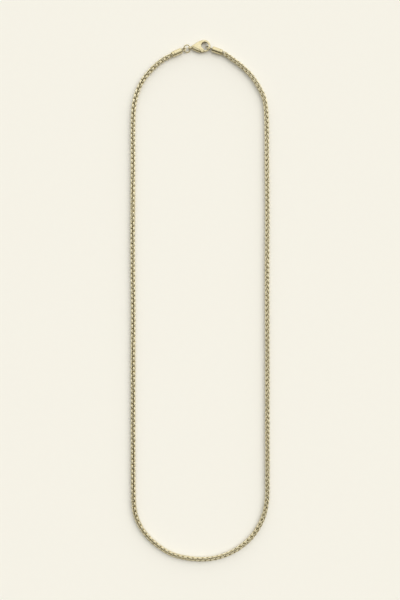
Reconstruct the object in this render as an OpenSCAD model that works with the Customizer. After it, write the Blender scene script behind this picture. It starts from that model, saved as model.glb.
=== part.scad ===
// Wheat chain necklace with end caps, a jump ring and a lobster clasp.
//
// The necklace lies closed on the plane z = 0. Its length runs along Y with the clasp at
// +Y, and the middle of its outline is over the origin. The chain starts in the left
// cap, runs down the left side, round the bottom, up the right side and into the right
// cap. The left cap's loop holds the jump ring, the ring holds the clasp by its tail eye,
// and the clasp's hook holds the right cap's loop.

/* [Chain] */
// Outside diameter of the chain, across its flats
chain_d = 2.2; // [2:0.05:2.3]
// Diameter of the chain's drawn ends inside the caps
chain_end_d = 1.66; // [1.5:0.02:1.7]

/* [End caps] */
// Outside diameter of a cap's barrel
cap_d = 2.4; // [2.35:0.05:2.6]
// Length of a cap's barrel
cap_len = 4.6; // [4.55:0.05:4.7]
// Diameter of the socket that holds the chain
socket_d = 1.9; // [1.88:0.02:2]
// Depth of the socket
socket_depth = 1.7; // [1.6:0.1:2.2]

/* [Loops and ring] */
// Wire of the left cap's loop and of the jump ring
ring_wire_d = 0.5; // [0.4:0.02:0.5]
// Wire of the right cap's loop
hook_loop_wire_d = 0.4; // [0.36:0.02:0.4]
// Angle between the left loop's plane and the vertical
loop_lean = 45; // [43:1:47]
// Angle between the plane of the clasp's tail eye and the vertical
eye_lean = 26; // [24:1:30]
// Angle between the right loop's plane and the vertical
hook_loop_lean = 31; // [31:1:32]

/* [Clasp] */
// Thickness of the clasp's body
clasp_t = 2.1; // [2:0.05:2.1]
// Radius of the clasp's round head
head_r = 2.66; // [2.6:0.02:2.7]
// Radius of the hole in the head
hole_r = 1.6; // [1.5:0.02:1.62]
// Radius of the rivet that the lever turns on
rivet_r = 0.25; // [0.2:0.01:0.27]
// Radial clearance between the rivet and the lever
lever_clearance = 0.03; // [0.01:0.01:0.08]

/* [Hidden] */
$fn = 48;

gold = [0.86, 0.73, 0.42];
pale_gold = [0.93, 0.84, 0.58];
tiny = 0.01;

// Route of the chain's centre line
// columns: x, y in mm, from the left cap's socket to the right cap's socket
ROUTE = [
    [-10.9, 106.8], [-12.3, 106.2], [-12.8, 105.9], [-16.4, 103.9], [-20.8, 100.1],
    [-24.6, 95.5], [-27.2, 90.3], [-28.6, 84.5], [-29.0, 78.0], [-29.1, 60.0],
    [-29.1, 43.0], [-29.2, 26.0], [-29.0, 0.0], [-29.0, -30.0], [-29.0, -60.0],
    [-28.9, -82.0], [-28.3, -91.0], [-25.6, -98.0], [-20.3, -104.2], [-12.4, -109.4],
    [-3.2, -111.5], [6.1, -111.2], [15.0, -107.9], [22.3, -101.9], [27.0, -94.0],
    [28.8, -86.0], [29.0, -77.0], [29.0, -50.0], [29.0, -20.0], [28.9, 10.0],
    [29.0, 40.0], [28.8, 62.0], [28.6, 80.0], [27.6, 87.4], [25.1, 92.8],
    [21.8, 97.5], [17.8, 101.4], [13.3, 104.8], [10.3, 106.9], [9.8, 107.1], [8.4, 107.6]];
// Stations of the chain's envelope stand about this far apart along straight runs
straight_gap = 9;
// and this far apart where the route turns by more than bend_from degrees
bend_gap = 4.2;
bend_from = 2;
// Number of route points at each end that lie in a cap
end_points = 2;
chain_sides = 8;

// Where each cap's mouth is, and the direction from its mouth to its loop
left_mouth = [-12.21, 106.22];
left_dir = 24.5;
right_mouth = [9.47, 107.22];
right_dir = 160.7;
cap_z = cap_d / 2;
cap_lip = 0.2;
cap_dome = 0.3;
// Turned groove that sets off the rim: distance from the mouth, width and depth
groove_at = 1.1;
groove_w = 0.2;
groove_depth = 0.07;

// Mean radius of each loop, and how far past its barrel its centre is
left_loop_r = 1;
left_loop_out = 0.9;
right_loop_r = 1.15;
right_loop_out = 1.74;
neck_r = 0.28;

// Oval jump ring: mean half width along the necklace and mean half length across it
ring_half_w = 1.24;
ring_half_l = 1.6;
ring_centre = [-5.77, 108.88, 1.125];
// The ring lies over on its long side, drops a little to the clasp and turns with it
ring_turn = [32.7, 3.5, 20.6];

// The clasp's own frame: origin in the middle of its head, x from tail to head
clasp_pos = [1.71, 110];
clasp_turn = 6.2;
clasp_mid = clasp_t / 2;
// The tail narrows to this half width at this distance from the middle of the head
tail_half = 0.35;
tail_len = 6.2;
tail_power = 1.15;
// The thumb tab's side is fuller than the other by up to this much
belly = 0.3;
// Share of its thickness that the tail loses at its end
tail_thin = 0.3;
tail_end = 5.5;
tail_round = 0.25;
// The outline shrinks by this share from the middle plane to the crowned faces
crown = 0.233;
// Share of its thickness that the head loses at the hook's side, and how fast
nose_thin = 0.68;
nose_power = 1.2;
hole_pos = [0.34, 0.02];
hole_flare = 0.15;
hole_flare_h = 1.18;
// Tail eye: mean radius, wire radius and distance from the middle of the head
eye_r = 0.72;
eye_wire_r = 0.27;

// Lever: its pin, knuckle, gate arm and thumb tab
pin_pos = [-1.2, -1.95];
cheek_r = 0.85;
cheek_t = 1.86;
knuckle_r = 0.62;
lever_t = 0.9;
slot_t = 1;
slot_r = 1.06;
gate_r = 2.2;
gate_wire_r = 0.42;
gate_reach = 2.88;
gate_gap = 0.1;
tab_inner_r = 1;
tab_reach = 4.1;
// Lines that part the thumb tab from the body: their corner and their directions
tab_corner = [-4.6, -0.1];
tab_line_turn = -33;
tab_tail_turn = 12;
tab_gap = 0.12;
// The thumb tab's thickness as a share of the body's
tab_thin = 0.84;
rivet_head_r = 0.4;
rivet_head_t = 0.1;
rivet_slack = 0.01;
head_seat_r = 0.46;

// Sweep along the route

function unit(v) = v / norm(v);

// The route's direction at point i, along the line that joins its neighbours
function heading(i) =
    unit(ROUTE[min(i + 1, len(ROUTE) - 1)] - ROUTE[max(i - 1, 0)]);

// Cubic between route points i and i + 1, at t from 0 to 1
function on_route(i, t) =
    let (reach = norm(ROUTE[i + 1] - ROUTE[i]),
         a = heading(i) * reach,
         b = heading(i + 1) * reach)
    ROUTE[i] * (2 * t ^ 3 - 3 * t ^ 2 + 1) + a * (t ^ 3 - 2 * t ^ 2 + t)
    + ROUTE[i + 1] * (3 * t ^ 2 - 2 * t ^ 3) + b * (t ^ 3 - t ^ 2);

function turn_after(i) =
    acos(min(1, heading(i) * heading(i + 1)));

function stations_after(i) =
    let (gap = turn_after(i) > bend_from ? bend_gap : straight_gap)
    max(1, round(norm(ROUTE[i + 1] - ROUTE[i]) / gap));

function in_cap(i) = i < end_points || i >= len(ROUTE) - end_points;

// The chain lies on the surface, and rises to the caps' axes at its ends
function station(i, t) =
    let (p = on_route(i, t))
    in_cap(i) && t == 0 ? [p.x, p.y, cap_z, chain_end_d / 2]
                        : [p.x, p.y, chain_d / 2, chain_d / 2];

// columns: x, y, z of the centre and the radius to a flat
STATIONS = [
    for (i = [0:len(ROUTE) - 2])
        for (k = [0:stations_after(i) - 1])
            station(i, k / stations_after(i)),
    [ROUTE[len(ROUTE) - 1].x, ROUTE[len(ROUTE) - 1].y, cap_z, chain_end_d / 2]];

function centre(s) = [s.x, s.y, s.z];

// Ring k of the sweep, with its flats level and upright
function sweep_ring(k) =
    let (last = len(STATIONS) - 1,
         along = unit(centre(STATIONS[min(k + 1, last)]) - centre(STATIONS[max(k - 1, 0)])),
         side = unit(cross([0, 0, 1], along)),
         up = cross(along, side),
         corner_r = STATIONS[k][3] / cos(180 / chain_sides))
    [for (j = [0:chain_sides - 1])
        let (a = (j + 0.5) * 360 / chain_sides)
        centre(STATIONS[k]) + corner_r * (cos(a) * side + sin(a) * up)];

// Triangles between stacked rings of n points that run anticlockwise about the stack
function stack_sides(rings, n) = [
    for (k = [0:rings - 2])
        for (j = [0:n - 1])
            let (a = k * n + j, b = k * n + (j + 1) % n)
            each [[a, a + n, b], [b, a + n, b + n]]];

// Triangles from two middle points, listed after the rings, to the first and last ring
function stack_ends(rings, n) = [
    for (j = [0:n - 1])
        let (next = (j + 1) % n, top = (rings - 1) * n)
        each [[rings * n, j, next], [rings * n + 1, top + next, top + j]]];

module stack(rings, n, points) {
    polyhedron(points, concat(stack_sides(rings, n), stack_ends(rings, n)));
}

module wheat_chain() {
    last = len(STATIONS) - 1;
    color(gold)
        stack(last + 1, chain_sides,
              [for (k = [0:last]) each sweep_ring(k),
               centre(STATIONS[0]), centre(STATIONS[last])]);
}

// Caps, loops and ring

module torus(mean_r, wire_r) {
    rotate_extrude() translate([mean_r, 0]) circle(wire_r);
}

// A loop whose hole faces along y, with its top leaning towards +y by an angle
module leaning_loop(mean_r, wire_r, lean) {
    rotate([lean < 0 ? 90 + lean : lean - 90, 0, 0]) torus(mean_r, wire_r);
}

// Half outline of a barrel, as radius and distance from its mouth
function barrel_outline() = [
    [0, 0], [cap_d / 2 - cap_lip, 0], [cap_d / 2, cap_lip],
    [cap_d / 2, groove_at - groove_w / 2],
    [cap_d / 2 - groove_depth, groove_at],
    [cap_d / 2, groove_at + groove_w / 2],
    for (a = [0:15:90])
        [cap_d / 2 - cap_dome * (1 - cos(a)), cap_len - cap_dome * (1 - sin(a))],
    [0, cap_len]];

// A cap in its own frame: mouth at the origin, loop along +x
module end_cap(loop_r, loop_wire_r, loop_out, lean) {
    color(pale_gold) {
        difference() {
            rotate([0, 90, 0]) rotate_extrude() polygon(barrel_outline());
            translate([-tiny, 0, 0])
                rotate([0, 90, 0]) cylinder(d = socket_d, h = socket_depth + tiny);
        }
        translate([(cap_len + socket_depth) / 2, 0, 0]) rotate([0, 90, 0])
            cylinder(r = neck_r, h = (cap_len - socket_depth) / 2 + loop_out - loop_r);
        translate([cap_len + loop_out, 0, 0])
            leaning_loop(loop_r, loop_wire_r, lean);
    }
}

module end_cap_left() {
    translate([left_mouth.x, left_mouth.y, cap_z]) rotate(left_dir)
        end_cap(left_loop_r, ring_wire_d / 2, left_loop_out, loop_lean);
}

module end_cap_right() {
    translate([right_mouth.x, right_mouth.y, cap_z]) rotate(right_dir)
        end_cap(right_loop_r, hook_loop_wire_d / 2, right_loop_out, -hook_loop_lean);
}

module jump_ring() {
    straight = ring_half_l - ring_half_w;
    color(pale_gold) translate(ring_centre) rotate(ring_turn) {
        for (end = [0, 180])
            rotate(end) {
                translate([0, straight, 0])
                    rotate_extrude(angle = 180)
                        translate([ring_half_w, 0]) circle(d = ring_wire_d);
                translate([ring_half_w, straight, 0]) rotate([90, 0, 0])
                    cylinder(d = ring_wire_d, h = 2 * straight);
            }
    }
}

// Clasp

module in_clasp() {
    translate([clasp_pos.x, clasp_pos.y, clasp_mid]) rotate(clasp_turn) children();
}

// Half width of the teardrop outline, x from the tail to the middle of the head
function flank(x) =
    tail_half + (head_r - tail_half) * sin(90 * (x + tail_len) / tail_len) ^ tail_power;

function full_flank(x) = flank(x) + belly * sin(180 * (x + tail_len) / tail_len);

// Teardrop outline of the clasp, anticlockwise from the tail's upper side
TEARDROP = [
    for (a = [0:30:150])
        [-tail_end - tail_round * sin(a),
         (a > 90 ? full_flank(-tail_end) : flank(-tail_end)) * cos(a)],
    for (x = [-tail_end:0.5:-0.5]) [x, -full_flank(x)],
    for (a = [-90:10:80]) head_r * [cos(a), sin(a)],
    for (x = [0:-0.5:-tail_end + 0.5]) [x, flank(x)]];

function crown_scale(level) = 1 - crown * (1 - sqrt(1 - level ^ 2));

// Rings of the crowned plate, from its lower face round its side to its upper face
// columns: height as a share of half the thickness, size as a share of the outline
RINGS = [
    [-1, 0.35], [-1, 0.5], [-1, 0.64],
    for (level = [-1, -0.9, -0.6, 0, 0.6, 0.9, 1]) [level, crown_scale(level)],
    [1, 0.64], [1, 0.5], [1, 0.35]];

// The plate thins towards the end of its tail and towards the hook's nose
function thinning(x) =
    1 - nose_thin * (max(x, 0) / head_r) ^ nose_power
      - tail_thin * (max(-x, 0) / tail_len) ^ 2;

module teardrop_plate() {
    stack(len(RINGS), len(TEARDROP),
          [for (ring = RINGS)
              for (p = TEARDROP)
                  let (q = p * ring[1])
                  [q.x, q.y, ring[0] * clasp_mid * thinning(q.x)],
           [0, 0, -clasp_mid], [0, 0, clasp_mid]]);
}

// Half outline of the flared hole, as radius and height
function hole_outline() = [
    [0, -clasp_t],
    [hole_r + hole_flare, -clasp_t],
    for (a = [-75:25:75])
        [hole_r + hole_flare * (1 - cos(a)), hole_flare_h * sin(a)],
    [hole_r + hole_flare, clasp_t],
    [0, clasp_t]];

module flared_hole() {
    translate([hole_pos.x, hole_pos.y, 0]) rotate_extrude() polygon(hole_outline());
}

module at_pin() {
    translate([pin_pos.x, pin_pos.y, 0]) children();
}

// Flat sector about the pin, between two radii and two angles
module pin_sector(r1, r2, from, to) {
    at_pin() rotate(from)
        rotate_extrude(angle = to - from)
            translate([r1, -clasp_t]) square([r2 - r1, 2 * clasp_t]);
}

// Everything below a line through the tab's corner, lowered by drop
module below_line(turn, drop) {
    reach = 2 * tail_len;
    translate([tab_corner.x, tab_corner.y, 0]) rotate(turn)
        translate([-reach / 2, -drop - reach, -clasp_t])
            cube([reach, reach, 2 * clasp_t]);
}

// The space of the thumb tab, with grow for its clearance and swing for its turn
module tab_space(grow, swing) {
    intersection() {
        below_line(tab_line_turn, -grow);
        below_line(tab_tail_turn, -grow);
        pin_sector(tab_inner_r - grow, tab_reach + grow, 130, 215 + swing);
    }
}

module clasp_body() {
    color(pale_gold) in_clasp() {
        difference() {
            teardrop_plate();
            flared_hole();
            tab_space(tab_gap, 25);
            pin_sector(cheek_r, gate_reach + gate_gap, -60, 30);
            at_pin() cylinder(r = slot_r, h = slot_t, center = true);
            at_pin() cylinder(r = rivet_r + rivet_slack, h = 2 * clasp_t, center = true);
            for (side = [0, 180])
                at_pin() rotate([side, 0, 0]) translate([0, 0, cheek_t / 2])
                    cylinder(r = head_seat_r, h = clasp_t);
        }
        translate([-tail_len, 0, 0]) leaning_loop(eye_r, eye_wire_r, eye_lean);
    }
}

module clasp_lever() {
    color(gold) in_clasp() difference() {
        union() {
            at_pin() cylinder(r = knuckle_r, h = lever_t, center = true);
            intersection() {
                rotate(240) rotate_extrude(angle = 80)
                    translate([gate_r, 0]) circle(gate_wire_r);
                at_pin() cylinder(r = gate_reach, h = clasp_t, center = true);
            }
            intersection() {
                scale([1, 1, tab_thin]) teardrop_plate();
                tab_space(0, 0);
            }
            intersection() {
                below_line(tab_line_turn, 0);
                pin_sector(knuckle_r / 2, tab_inner_r + tab_gap, 150, 200);
                cube([4 * tail_len, 4 * tail_len, lever_t], center = true);
            }
        }
        at_pin() cylinder(r = rivet_r + lever_clearance, h = 2 * clasp_t, center = true);
    }
}

module lever_rivet() {
    color(pale_gold) in_clasp() at_pin() {
        cylinder(r = rivet_r, h = cheek_t + 2 * rivet_slack, center = true);
        for (side = [0, 180])
            rotate([side, 0, 0]) translate([0, 0, cheek_t / 2 + rivet_slack])
                cylinder(r = rivet_head_r, h = rivet_head_t);
    }
}

wheat_chain();
end_cap_left();
end_cap_right();
jump_ring();
clasp_body();
clasp_lever();
lever_rivet();
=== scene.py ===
# %% [markdown]
# # A wheat chain necklace with a lobster clasp
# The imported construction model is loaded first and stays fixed. It holds the sizes: the
# barrel caps, the jump ring, the clasp and a plain tube where the chain runs. What this
# file adds is what the eye sees: the woven links, the polish and the light.

# %% Load the construction model
import math
import bpy
from mathutils import Euler, Matrix, Vector


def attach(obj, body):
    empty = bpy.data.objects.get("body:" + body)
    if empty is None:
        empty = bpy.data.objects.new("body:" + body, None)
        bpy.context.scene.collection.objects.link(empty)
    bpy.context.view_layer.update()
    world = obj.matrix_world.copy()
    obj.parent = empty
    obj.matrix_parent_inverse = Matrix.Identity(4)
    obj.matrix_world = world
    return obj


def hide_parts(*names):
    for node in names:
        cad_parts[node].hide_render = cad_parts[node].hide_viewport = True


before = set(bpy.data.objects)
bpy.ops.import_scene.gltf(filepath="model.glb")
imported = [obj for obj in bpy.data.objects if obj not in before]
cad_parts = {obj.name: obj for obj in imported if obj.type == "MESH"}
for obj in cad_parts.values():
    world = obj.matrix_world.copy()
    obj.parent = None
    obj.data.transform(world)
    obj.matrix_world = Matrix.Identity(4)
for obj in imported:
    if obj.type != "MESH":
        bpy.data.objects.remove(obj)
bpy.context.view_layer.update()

# %% [markdown]
# Blender counts in metres and a goldsmith in millimetres, so every size below is written
# in millimetres and multiplied by mm. Each operator acts on whatever is selected, and the
# loaded model is still selected, so everything is deselected before a piece is begun.

# %% Small helpers
mm = 0.001


def deselect_all():
    if bpy.context.mode != "OBJECT":
        bpy.ops.object.mode_set(mode="OBJECT")
    bpy.ops.object.select_all(action="DESELECT")


def select_only(piece):
    deselect_all()
    piece.select_set(True)
    bpy.context.view_layer.objects.active = piece


def report(piece):
    low = [min(v.co[i] for v in piece.data.vertices) * 1000 for i in range(3)]
    high = [max(v.co[i] for v in piece.data.vertices) * 1000 for i in range(3)]
    size = " x ".join(f"{h - l:.2f}" for l, h in zip(low, high))
    print(f"{piece.name}: {len(piece.data.polygons)} faces, {size} mm")


deselect_all()

# %% [markdown]
# ## Camera
# The necklace was laid flat and photographed from straight above. A normal lens a third
# of a metre up sees a sliver of the clasp's inner wall, as the photo does. At the height
# of the chain's middle one pixel of the picture is 0.432 mm, so the frame there is
# 172.8 mm wide and 259.2 mm high.

# %% Camera straight above
view_height = 259.2 * mm
chain_middle = 1.1 * mm
lens, sensor = 50, 36
camera_z = chain_middle + view_height * lens / sensor
bpy.ops.object.camera_add(location=(-0.13 * mm, 0.3 * mm, camera_z))
camera = bpy.context.object
camera.name = "camera_above"
camera.rotation_euler = Euler((0, 0, 0))
camera.data.lens = lens
camera.data.sensor_width = camera.data.sensor_height = sensor
camera.data.sensor_fit = "AUTO"
camera.data.clip_start = 0.01
bpy.context.scene.camera = camera
print("camera height", round(camera.location.z, 3))

# %% [markdown]
# ## Colours and materials
# A colour picker shows sRGB, and the renderer wants linear light, so one function turns
# every hex value. One more adds a node with its settings and links, which keeps each
# material below readable from top to bottom.

# %% Colour and node helpers
def colour(hex_value):
    channels = [int(hex_value[i:i + 2], 16) / 255 for i in (1, 3, 5)]
    linear = [c / 12.92 if c <= 0.04045 else ((c + 0.055) / 1.055) ** 2.4 for c in channels]
    return (*linear, 1)


def add_node(tree, kind, settings=None, inputs=None, links=None):
    node = tree.nodes.new(kind)
    for key, value in (settings or {}).items():
        setattr(node, key, value)
    for key, value in (inputs or {}).items():
        node.inputs[key].default_value = value
    for key, socket in (links or {}).items():
        tree.links.new(socket, node.inputs[key])
    return node


def new_material(name):
    material = bpy.data.materials.new(name)
    material.use_nodes = True
    tree = material.node_tree
    tree.nodes.clear()
    return material, tree


def set_material(piece, material):
    piece.data.materials.clear()
    piece.data.materials.append(material)


# %% [markdown]
# The fittings are cast 14 carat yellow gold, pale because half of it is silver and
# copper, then polished on a felt wheel. Polishing leaves a mirror with faint waves, and
# wear adds hairlines. The waves are a soft noise about 1.5 mm wide in the roughness, and
# the hairlines are a stretched noise in the bump, drawn coarser than real so they show.
# The wheel doesn't get inside the hook and the slots, so there the metal stays duller.
# Its colour there is darkened to a dim olive as painted shade, for the shade that falls
# into these hollows. Walls that stand within 4 mm of another wall count as inside. The Mix
# node's colour sockets share their names with others, so they are given by number.

# %% Polished 14 carat gold, for the fittings
def polished_gold():
    material, tree = new_material("gold_14ct_polished")
    place = add_node(tree, "ShaderNodeTexCoord")
    waves = add_node(tree, "ShaderNodeTexNoise", inputs={"Scale": 1 / (1.5 * mm), "Detail": 2.0},
                     links={"Vector": place.outputs["Object"]})
    tone = add_node(tree, "ShaderNodeValToRGB", links={"Fac": waves.outputs["Fac"]})
    tone.color_ramp.elements[0].position = 0.3
    tone.color_ramp.elements[0].color = colour("#DACDA4")
    tone.color_ramp.elements[1].position = 0.7
    tone.color_ramp.elements[1].color = colour("#E7DCBB")
    gloss = add_node(tree, "ShaderNodeMapRange",
                     inputs={"From Min": 0.3, "From Max": 0.7, "To Min": 0.14, "To Max": 0.24},
                     links={"Value": waves.outputs["Fac"]})
    # painted shade: ambient occlusion within 4 mm darkens the colour in the hook, the slots and
    # other hollows
    hollow_occlusion = add_node(tree, "ShaderNodeAmbientOcclusion", {"samples": 8, "only_local": True},
                     inputs={"Distance": 4 * mm})
    painted_shade_and_dullness = add_node(tree, "ShaderNodeMapRange",
                      inputs={"From Min": 0.9, "From Max": 0.6},
                      links={"Value": hollow_occlusion.outputs["AO"]})
    # the dim olive #4C4327 is painted shade, mixed in where the hollows are occluded
    tone_with_painted_shade = add_node(tree, "ShaderNodeMix", {"data_type": "RGBA"},
                    inputs={7: colour("#4C4327")},
                    links={"Factor": painted_shade_and_dullness.outputs["Result"], 6: tone.outputs["Color"]})
    dull = add_node(tree, "ShaderNodeMath", {"operation": "MULTIPLY_ADD", "use_clamp": True},
                    inputs={1: 0.35}, links={0: painted_shade_and_dullness.outputs["Result"],
                                             2: gloss.outputs["Result"]})
    stretch = add_node(tree, "ShaderNodeMapping", inputs={"Scale": (1, 9, 1)},
                       links={"Vector": place.outputs["Object"]})
    hairlines = add_node(tree, "ShaderNodeTexNoise",
                         inputs={"Scale": 1 / (0.6 * mm), "Detail": 4.0},
                         links={"Vector": stretch.outputs["Vector"]})
    bump = add_node(tree, "ShaderNodeBump", inputs={"Strength": 0.12, "Distance": 0.03 * mm},
                    links={"Height": hairlines.outputs["Fac"]})
    metal = add_node(tree, "ShaderNodeBsdfPrincipled", inputs={"Metallic": 1.0},
                     links={"Base Color": tone_with_painted_shade.outputs[2],
                            "Roughness": dull.outputs["Value"],
                            "Normal": bump.outputs["Normal"]})
    add_node(tree, "ShaderNodeOutputMaterial", links={"Surface": metal.outputs["BSDF"]})
    return material


gold_fitting = polished_gold()
print("made", gold_fitting.name)

# %% [markdown]
# The links are drawn wire of the same gold, tumbled bright. Polish never reaches between
# them, so the metal is duller the deeper it lies, and its colour is darkened with depth as
# painted shade, for the shade that falls between the links. Each point of a link carries
# its depth in an attribute, and the colour and the gloss follow it.

# %% Drawn and tumbled 14 carat gold, for the links
def tumbled_gold():
    material, tree = new_material("gold_14ct_tumbled_wire")
    depth = add_node(tree, "ShaderNodeAttribute", {"attribute_name": "depth"})
    place = add_node(tree, "ShaderNodeTexCoord")
    grain = add_node(tree, "ShaderNodeTexNoise", inputs={"Scale": 1 / (0.8 * mm), "Detail": 3.0},
                     links={"Vector": place.outputs["Object"]})
    uneven = add_node(tree, "ShaderNodeMath", {"operation": "MULTIPLY_ADD"},
                      inputs={1: 0.35, 2: -0.17}, links={0: grain.outputs["Fac"]})
    shade = add_node(tree, "ShaderNodeMath", {"operation": "ADD", "use_clamp": True},
                     links={0: depth.outputs["Fac"], 1: uneven.outputs["Value"]})
    # painted shade: the colour runs from pale at the surface to dark olive deep between the
    # links
    tone = add_node(tree, "ShaderNodeValToRGB", links={"Fac": shade.outputs["Value"]})
    tone.color_ramp.elements[0].position = 0.1
    tone.color_ramp.elements[0].color = colour("#F7EED0")
    tone.color_ramp.elements[1].position = 0.85
    tone.color_ramp.elements[1].color = colour("#A3956A")
    middle = tone.color_ramp.elements.new(0.42)
    middle.color = colour("#D5C698")
    gloss = add_node(tree, "ShaderNodeMapRange", inputs={"To Min": 0.2, "To Max": 0.5},
                     links={"Value": shade.outputs["Value"]})
    metal = add_node(tree, "ShaderNodeBsdfPrincipled", inputs={"Metallic": 1.0},
                     links={"Base Color": tone.outputs["Color"],
                            "Roughness": gloss.outputs["Result"]})
    add_node(tree, "ShaderNodeOutputMaterial", links={"Surface": metal.outputs["BSDF"]})
    return material


gold_wire = tumbled_gold()
print("made", gold_wire.name)

# %% [markdown]
# ## One wheat link
# A wheat chain is woven from long oval links. Each is folded in half to a U, and the next
# but one passes through both of its rounded ends. Between them lies a link turned by a
# quarter, so four ears of wheat run round the chain. The oval starts as a circle of 16
# corners. Its corners are put in their folded places, and a round wire is drawn along it.
# The places are those at which no wire cuts its neighbour.

# %% Fold a circle of 16 corners to a U
wire_d = 0.40
pitch = 1.08
# columns: along the chain, to the side, up, in mm, for one quarter of the link
QUARTER = [(0.10, 0.50, 0.20), (0.78, 0.84, 0.18), (1.62, 0.80, 0.25), (2.46, 0.52, 0.52)]


def folded_corners():
    out = QUARTER
    back = [(x, y, -z) for x, y, z in reversed(QUARTER)]
    far_out = [(x, -y, -z) for x, y, z in QUARTER]
    far_back = [(x, -y, z) for x, y, z in reversed(QUARTER)]
    return [Vector(c) * mm for c in out + back + far_out + far_back]


def make_link():
    deselect_all()
    bpy.ops.mesh.primitive_circle_add(vertices=16, radius=mm)
    link = bpy.context.object
    for vertex, corner in zip(link.data.vertices, folded_corners()):
        vertex.co = corner
    bpy.ops.object.convert(target="CURVE")
    link = bpy.context.object
    link.data.bevel_depth = wire_d / 2 * mm
    link.data.bevel_resolution = 1
    bpy.ops.object.convert(target="MESH")
    link = bpy.context.object
    bpy.ops.object.shade_smooth()
    return link


first_link = make_link()
first_link.name = "wheat_links"
report(first_link)

# %% [markdown]
# The second link is a copy, moved on by one pitch and turned a quarter about the chain.
# The pair is then turned by 45 degrees more, because the chain lies on two of its four
# ears and shows the other two side by side.

# %% Pair the link with its neighbour
def turn_about_chain(piece, degrees):
    piece.data.transform(Matrix.Rotation(math.radians(degrees), 4, "X"))


def add_neighbour(link):
    select_only(link)
    bpy.ops.object.duplicate()
    neighbour = bpy.context.object
    turn_about_chain(neighbour, 90)
    neighbour.data.transform(Matrix.Translation((pitch * mm, 0, 0)))
    select_only(link)
    neighbour.select_set(True)
    bpy.ops.object.join()
    turn_about_chain(link, 45)


add_neighbour(first_link)
report(first_link)

# %% Write each point's depth below the chain's surface
outer_r = 1.0
deepest = 0.55
depth = first_link.data.attributes.new("depth", "FLOAT", "POINT")
for vertex, value in zip(first_link.data.vertices, depth.data):
    from_axis = math.hypot(vertex.co.y, vertex.co.z) / mm
    value.value = min(1, max(0, (outer_r - from_axis) / deepest))
print("deepest point", round(max(v.value for v in depth.data), 2))

# %% [markdown]
# ## The chain
# The pair is repeated by an array and bent along the route by a curve, as a goldsmith
# would weave a straight length and then lay it down. The route repeats the construction
# model's points, because this file can't read that one. The curve's radius narrows the
# chain in the caps, and its tilt lets the ears roll a little, as they do when a chain is
# laid by hand. The roll is two slow waves of unequal length, so it never quite repeats.

# %% Route of the chain, in mm
ROUTE = [
    (-10.9, 106.8), (-12.3, 106.2), (-12.8, 105.9), (-16.4, 103.9), (-20.8, 100.1),
    (-24.6, 95.5), (-27.2, 90.3), (-28.6, 84.5), (-29.0, 78.0), (-29.1, 60.0),
    (-29.1, 43.0), (-29.2, 26.0), (-29.0, 0.0), (-29.0, -30.0), (-29.0, -60.0),
    (-28.9, -82.0), (-28.3, -91.0), (-25.6, -98.0), (-20.3, -104.2), (-12.4, -109.4),
    (-3.2, -111.5), (6.1, -111.2), (15.0, -107.9), (22.3, -101.9), (27.0, -94.0),
    (28.8, -86.0), (29.0, -77.0), (29.0, -50.0), (29.0, -20.0), (28.9, 10.0),
    (29.0, 40.0), (28.8, 62.0), (28.6, 80.0), (27.6, 87.4), (25.1, 92.8),
    (21.8, 97.5), (17.8, 101.4), (13.3, 104.8), (10.3, 106.9), (9.8, 107.1), (8.4, 107.6)]
chain_z, cap_z = 1.1, 1.2
narrowed = 0.78
# each wave of the roll: degrees, mm for one radian, start in radians
ROLL_WAVES = [(14, 5.2, 0), (12, 11, 1)]
last = len(ROUTE) - 1


def heading(i):
    a, b = ROUTE[max(i - 1, 0)], ROUTE[min(i + 1, last)]
    return Vector((b[0] - a[0], b[1] - a[1], 0)).normalized()


def in_cap(i):
    return i < 2 or i > last - 2


def lay_route():
    curve = bpy.data.curves.new("route", "CURVE")
    curve.dimensions = "3D"
    curve.twist_mode = "Z_UP"
    curve.resolution_u = 6
    spline = curve.splines.new("BEZIER")
    spline.bezier_points.add(last)
    for i, point in enumerate(spline.bezier_points):
        here = Vector((*ROUTE[i], cap_z if in_cap(i) else chain_z))
        before = (Vector(ROUTE[i]) - Vector(ROUTE[max(i - 1, 0)])).length / 3
        after = (Vector(ROUTE[min(i + 1, last)]) - Vector(ROUTE[i])).length / 3
        point.handle_left_type = point.handle_right_type = "FREE"
        point.co = here * mm
        point.handle_left = (here - heading(i) * before) * mm
        point.handle_right = (here + heading(i) * after) * mm
        point.radius = narrowed if in_cap(i) else 1.0
    route = bpy.data.objects.new("route", curve)
    bpy.context.scene.collection.objects.link(route)
    return route


def roll(route):
    select_only(route)
    bpy.ops.object.mode_set(mode="EDIT")
    bpy.ops.curve.select_all(action="SELECT")
    bpy.ops.curve.subdivide(number_cuts=5)
    bpy.ops.object.mode_set(mode="OBJECT")
    points = route.data.splines[0].bezier_points
    travelled = 0
    for before, point in zip(points, points[1:]):
        travelled += (point.co - before.co).length / mm
        degrees = sum(size * math.sin(travelled / slow + start)
                      for size, slow, start in ROLL_WAVES)
        point.tilt = math.radians(degrees)


route = lay_route()
roll(route)
route_length = route.data.splines[0].calc_length() / mm
# the last link reaches this far past its own pitch
link_reach = 1.8
pairs = round((route_length - link_reach) / (2 * pitch))
fitted_pitch = (route_length - link_reach) / (2 * pairs)
print(f"route {route_length:.1f} mm, {2 * pairs} links, {fitted_pitch:.4f} mm apart")

# %% Repeat the pair and bend it along the route
def lay_chain(chain):
    select_only(chain)
    repeat = chain.modifiers.new("repeat", "ARRAY")
    repeat.use_relative_offset = False
    repeat.use_constant_offset = True
    repeat.constant_offset_displace = (2 * fitted_pitch * mm, 0, 0)
    repeat.count = pairs
    bpy.ops.object.modifier_apply(modifier="repeat")
    along = chain.modifiers.new("along", "CURVE")
    along.object = route
    along.deform_axis = "POS_X"
    bpy.ops.object.modifier_apply(modifier="along")
    bpy.data.objects.remove(route)


lay_chain(first_link)
set_material(first_link, gold_wire)
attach(first_link, "necklace")
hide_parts("wheat_chain")
report(first_link)

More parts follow.
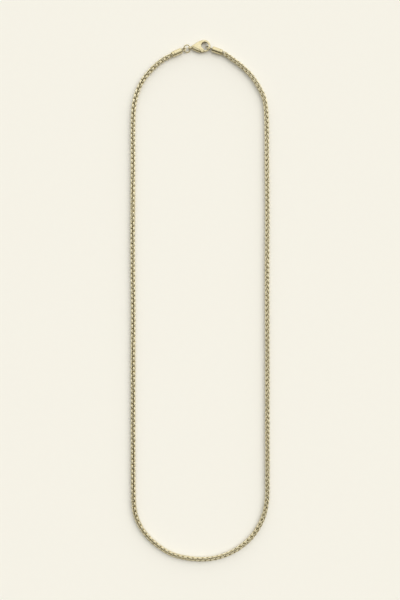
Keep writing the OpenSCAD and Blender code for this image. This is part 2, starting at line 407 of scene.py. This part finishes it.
# %% [markdown]
# ## Fittings
# The cast fittings already have their true shapes in the construction model, made of flat
# facets. A copy loses the stored normals of its facets and has its loose triangles
# merged. It can then be shaded smooth, with each edge steeper than the given angle kept
# sharp, and takes the polish.

# %% Polish the cast fittings
def polish(node, body, name, angle):
    piece = bpy.data.objects.new(name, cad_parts[node].data.copy())
    bpy.context.scene.collection.objects.link(piece)
    select_only(piece)
    bpy.ops.mesh.customdata_custom_splitnormals_clear()
    bpy.ops.object.mode_set(mode="EDIT")
    bpy.ops.mesh.select_all(action="SELECT")
    bpy.ops.mesh.remove_doubles(threshold=0.0005 * mm)
    bpy.ops.object.mode_set(mode="OBJECT")
    bpy.ops.object.shade_smooth_by_angle(angle=math.radians(angle))
    set_material(piece, gold_fitting)
    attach(piece, body)
    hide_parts(node)
    report(piece)


polish("end_cap_left", "necklace", "cap_left_polished", 25)
polish("end_cap_right", "necklace", "cap_right_polished", 25)
polish("jump_ring", "necklace", "ring_polished", 35)
polish("clasp_body", "necklace", "clasp_body_polished", 26)
polish("lever_rivet", "necklace", "rivet_polished", 35)
polish("clasp_lever", "lever", "lever_polished", 26)

# %% [markdown]
# ## Surface and light
# The necklace lies on smooth pale card. A large soft light far to the right and a little
# to the top throws a soft shadow to the left. It is a sun with a wide disc, so the card is
# lit evenly from edge to edge. It is kept out of reflections, because a sun burns white
# spots into polished metal. The tent below gives the reflections instead.

# %% Pale card under the necklace
def warm_card():
    material, tree = new_material("card_warm_white")
    place = add_node(tree, "ShaderNodeTexCoord")
    fibre = add_node(tree, "ShaderNodeTexNoise", inputs={"Scale": 1 / (3 * mm), "Detail": 2.0},
                     links={"Vector": place.outputs["Object"]})
    tone = add_node(tree, "ShaderNodeValToRGB", links={"Fac": fibre.outputs["Fac"]})
    tone.color_ramp.elements[0].color = colour("#F7F5F0")
    tone.color_ramp.elements[1].color = colour("#F8F6F1")
    paper = add_node(tree, "ShaderNodeBsdfPrincipled",
                     inputs={"Roughness": 0.9, "Specular IOR Level": 0.1},
                     links={"Base Color": tone.outputs["Color"]})
    add_node(tree, "ShaderNodeOutputMaterial", links={"Surface": paper.outputs["BSDF"]})
    return material


deselect_all()
bpy.ops.mesh.primitive_plane_add(size=2)
card = bpy.context.object
card.name = "card"
set_material(card, warm_card())

# %% Wide soft key
towards_key = Vector((0.62, 0.34, 0.71))
deselect_all()
bpy.ops.object.light_add(type="SUN", location=towards_key * 0.5)
key = bpy.context.object
key.name = "key_right"
key.data.energy = 0.9
key.data.angle = math.radians(46)
key.data.color = colour("#FFFBF2")[:3]
key.visible_glossy = False
key.rotation_euler = towards_key.to_track_quat("Z", "Y").to_euler()
print("key stands", round(math.degrees(math.asin(towards_key.normalized().z))), "degrees up")

# %% [markdown]
# Polished metal shows the room more than its own colour. The room here is a white tent
# that is brightest at its top end and falls to a dim olive at the bottom end,
# which is what gives the barrels and the clasp a light band above and a dark one below.
# Behind the card the camera sees a plain backdrop of the card's own colour.

# %% A tent that is brighter towards the key
def studio_tent():
    world = bpy.data.worlds.new("studio_tent")
    world.use_nodes = True
    tree = world.node_tree
    tree.nodes.clear()
    place = add_node(tree, "ShaderNodeTexCoord")
    facing = add_node(tree, "ShaderNodeVectorMath", {"operation": "DOT_PRODUCT"},
                      inputs={1: (0.28, 0.83, 0.48)}, links={0: place.outputs["Generated"]})
    share = add_node(tree, "ShaderNodeMapRange", inputs={"From Min": -1.0, "From Max": 1.0},
                     links={"Value": facing.outputs["Value"]})
    tone = add_node(tree, "ShaderNodeValToRGB", links={"Fac": share.outputs["Result"]})
    tone.color_ramp.elements[0].position = 0.3
    tone.color_ramp.elements[0].color = colour("#433F2E")
    tone.color_ramp.elements[1].position = 0.8
    tone.color_ramp.elements[1].color = colour("#FFFFFA")
    middle = tone.color_ramp.elements.new(0.58)
    middle.color = colour("#B9B7AE")
    air = add_node(tree, "ShaderNodeBackground", inputs={"Strength": 1.2},
                   links={"Color": tone.outputs["Color"]})
    backdrop = add_node(tree, "ShaderNodeBackground", inputs={"Color": colour("#F5F1E6")})
    path = add_node(tree, "ShaderNodeLightPath")
    seen = add_node(tree, "ShaderNodeMixShader",
                    links={"Fac": path.outputs["Is Camera Ray"],
                           1: air.outputs["Background"], 2: backdrop.outputs["Background"]})
    add_node(tree, "ShaderNodeOutputWorld", links={"Surface": seen.outputs["Shader"]})
    return world


bpy.context.scene.world = studio_tent()
bpy.context.scene.view_settings.view_transform = "Standard"
bpy.context.scene.view_settings.look = "None"
print("tent", bpy.context.scene.world.name)
